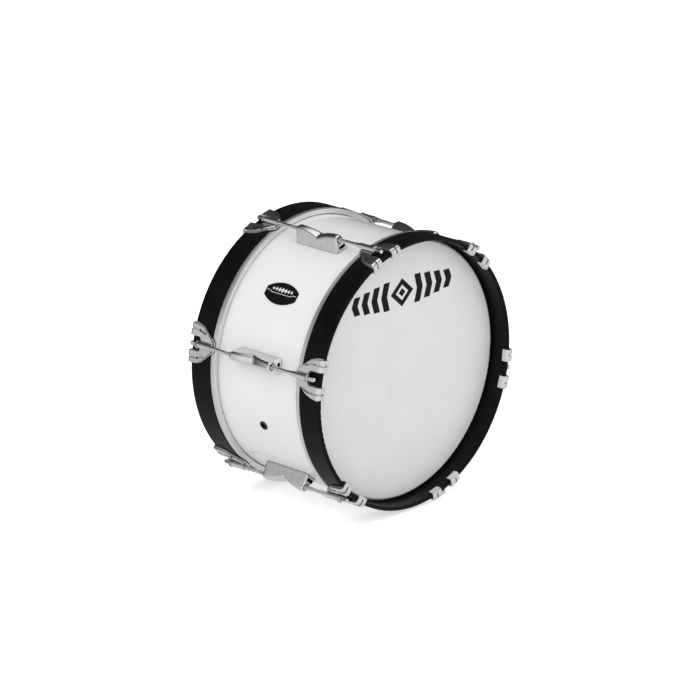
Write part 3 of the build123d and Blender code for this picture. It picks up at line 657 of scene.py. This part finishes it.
def floor_white():
    """A pale matt floor, lit from within a little so that it meets the white surroundings."""
    m = Recipe("floor_white", Roughness=0.9, Specular_IOR_Level=0.0)
    clouds = m.spread(m.noise(400 * MM, 2.0))
    m.feed(Base_Color=m.blend(clouds, 0.9, 0.93))
    seen = m.node("ShaderNodeLightPath").outputs["Is Camera Ray"]
    m.feed(Emission_Color=rgba(1.0), Emission_Strength=m.math("MULTIPLY", seen, FLOOR_GLOW))
    return m.material


def add_floor():
    """A plain pale floor just under the drum."""
    half = FLOOR_HALF_WIDTH
    height = cad_box[0].z - FLOOR_GAP
    mesh = bpy.data.meshes.new("floor")
    corners = [(x * half, y * half, height) for x, y in ((-1, -1), (1, -1), (1, 1), (-1, 1))]
    mesh.from_pydata(corners, [], [(0, 1, 2, 3)])
    mesh.materials.append(floor_white())
    floor = bpy.data.objects.new("floor", mesh)
    floor.visible_glossy = False
    bpy.context.scene.collection.objects.link(floor)


def add_light(name, azimuth, elevation, distance, size, power):
    """A square soft box aimed at the drum's middle."""
    a = math.radians(azimuth)
    e = math.radians(elevation)
    back = Vector((math.sin(a) * math.cos(e), -math.cos(a) * math.cos(e), math.sin(e)))
    data = bpy.data.lights.new(name, "AREA")
    data.size = size
    data.energy = power
    lamp = bpy.data.objects.new(name, data)
    lamp.location = back * distance
    lamp.rotation_mode = "QUATERNION"
    lamp.rotation_quaternion = (-back).to_track_quat("-Z", "Y")
    lamp.visible_glossy = False
    bpy.context.scene.collection.objects.link(lamp)


def add_surroundings():
    """White surroundings. Mirror surfaces see a studio with a dark rear wall instead."""
    world = bpy.data.worlds.new("studio")
    bpy.context.scene.world = world
    world.use_nodes = True
    tree = world.node_tree
    tree.nodes.clear()

    def node(kind, values=None, **settings):
        made = tree.nodes.new(kind)
        for key, value in settings.items():
            setattr(made, key, value)
        for key, value in (values or {}).items():
            if isinstance(value, bpy.types.NodeSocket):
                tree.links.new(value, made.inputs[key])
            else:
                made.inputs[key].default_value = value
        return made

    direction = node("ShaderNodeTexCoord").outputs["Generated"]
    parts = node("ShaderNodeSeparateXYZ", {0: direction}).outputs
    angle = node("ShaderNodeMath", {0: parts[0], 1: parts[1]}, operation="ARCTAN2").outputs[0]
    values = {0: angle, 1: -math.pi, 2: math.pi, 3: 0.0, 4: 1.0}
    turn = node("ShaderNodeMapRange", values).outputs[0]
    ramp = node("ShaderNodeValToRGB", {0: turn})
    elements = ramp.color_ramp.elements
    while len(elements) < len(WALLS):
        elements.new(1.0)
    for element, (azimuth, level) in zip(elements, WALLS):
        element.position = (azimuth + 180) / 360
        element.color = rgba(level)

    def share(low, high):
        """0 at one elevation and 1 at the other."""
        ends = [math.sin(math.radians(elevation)) for elevation in (low, high)]
        values = {0: parts[2], 1: ends[0], 2: ends[1], 3: 0.0, 4: 1.0}
        return node("ShaderNodeMapRange", values, interpolation_type="SMOOTHSTEP").outputs[0]

    values = {0: share(HIGH_WALL_FROM, HIGH_WALL_FULL), 1: 0.0, 2: 1.0, 3: 1.0, 4: HIGH_WALL_SHARE}
    dim = node("ShaderNodeMapRange", values).outputs[0]
    values = {"Factor": dim, 6: rgba(HIGH_WALL_LIGHT), 7: ramp.outputs[0]}
    wall = node("ShaderNodeMix", values, data_type="RGBA").outputs[2]
    values = {"Factor": share(CEILING_FROM, CEILING_FULL), 6: wall, 7: rgba(CEILING_LIGHT)}
    upper = node("ShaderNodeMix", values, data_type="RGBA").outputs[2]
    values = {"Factor": share(FLOOR_FROM, FLOOR_FULL), 6: upper, 7: rgba(FLOOR_LIGHT)}
    mirrored = node("ShaderNodeMix", values, data_type="RGBA").outputs[2]
    studio = node("ShaderNodeBackground", {0: mirrored, 1: 1.0}).outputs[0]
    path = node("ShaderNodeLightPath").outputs
    values = {0: path["Is Camera Ray"], 1: 0.0, 2: 1.0, 3: OPEN_LIGHT, 4: 1.0}
    level = node("ShaderNodeMapRange", values).outputs[0]
    open_white = node("ShaderNodeBackground", {0: rgba(1.0), 1: level})
    values = {0: path["Is Glossy Ray"], 1: open_white.outputs[0], 2: studio}
    mixed = node("ShaderNodeMixShader", values).outputs[0]
    node("ShaderNodeOutputWorld", {0: mixed})


# ---------------------------------------------------------------- build

dress_frame()
head_ornament()
badge_trim()
for side in SIDES:
    for number in range(1, LUG_COUNT + 1):
        rod_thread(side, number)

add_floor()
add_camera()
for soft_box in SOFT_BOXES:
    add_light(*soft_box)
add_surroundings()
bpy.context.scene.view_settings.view_transform = "Standard"
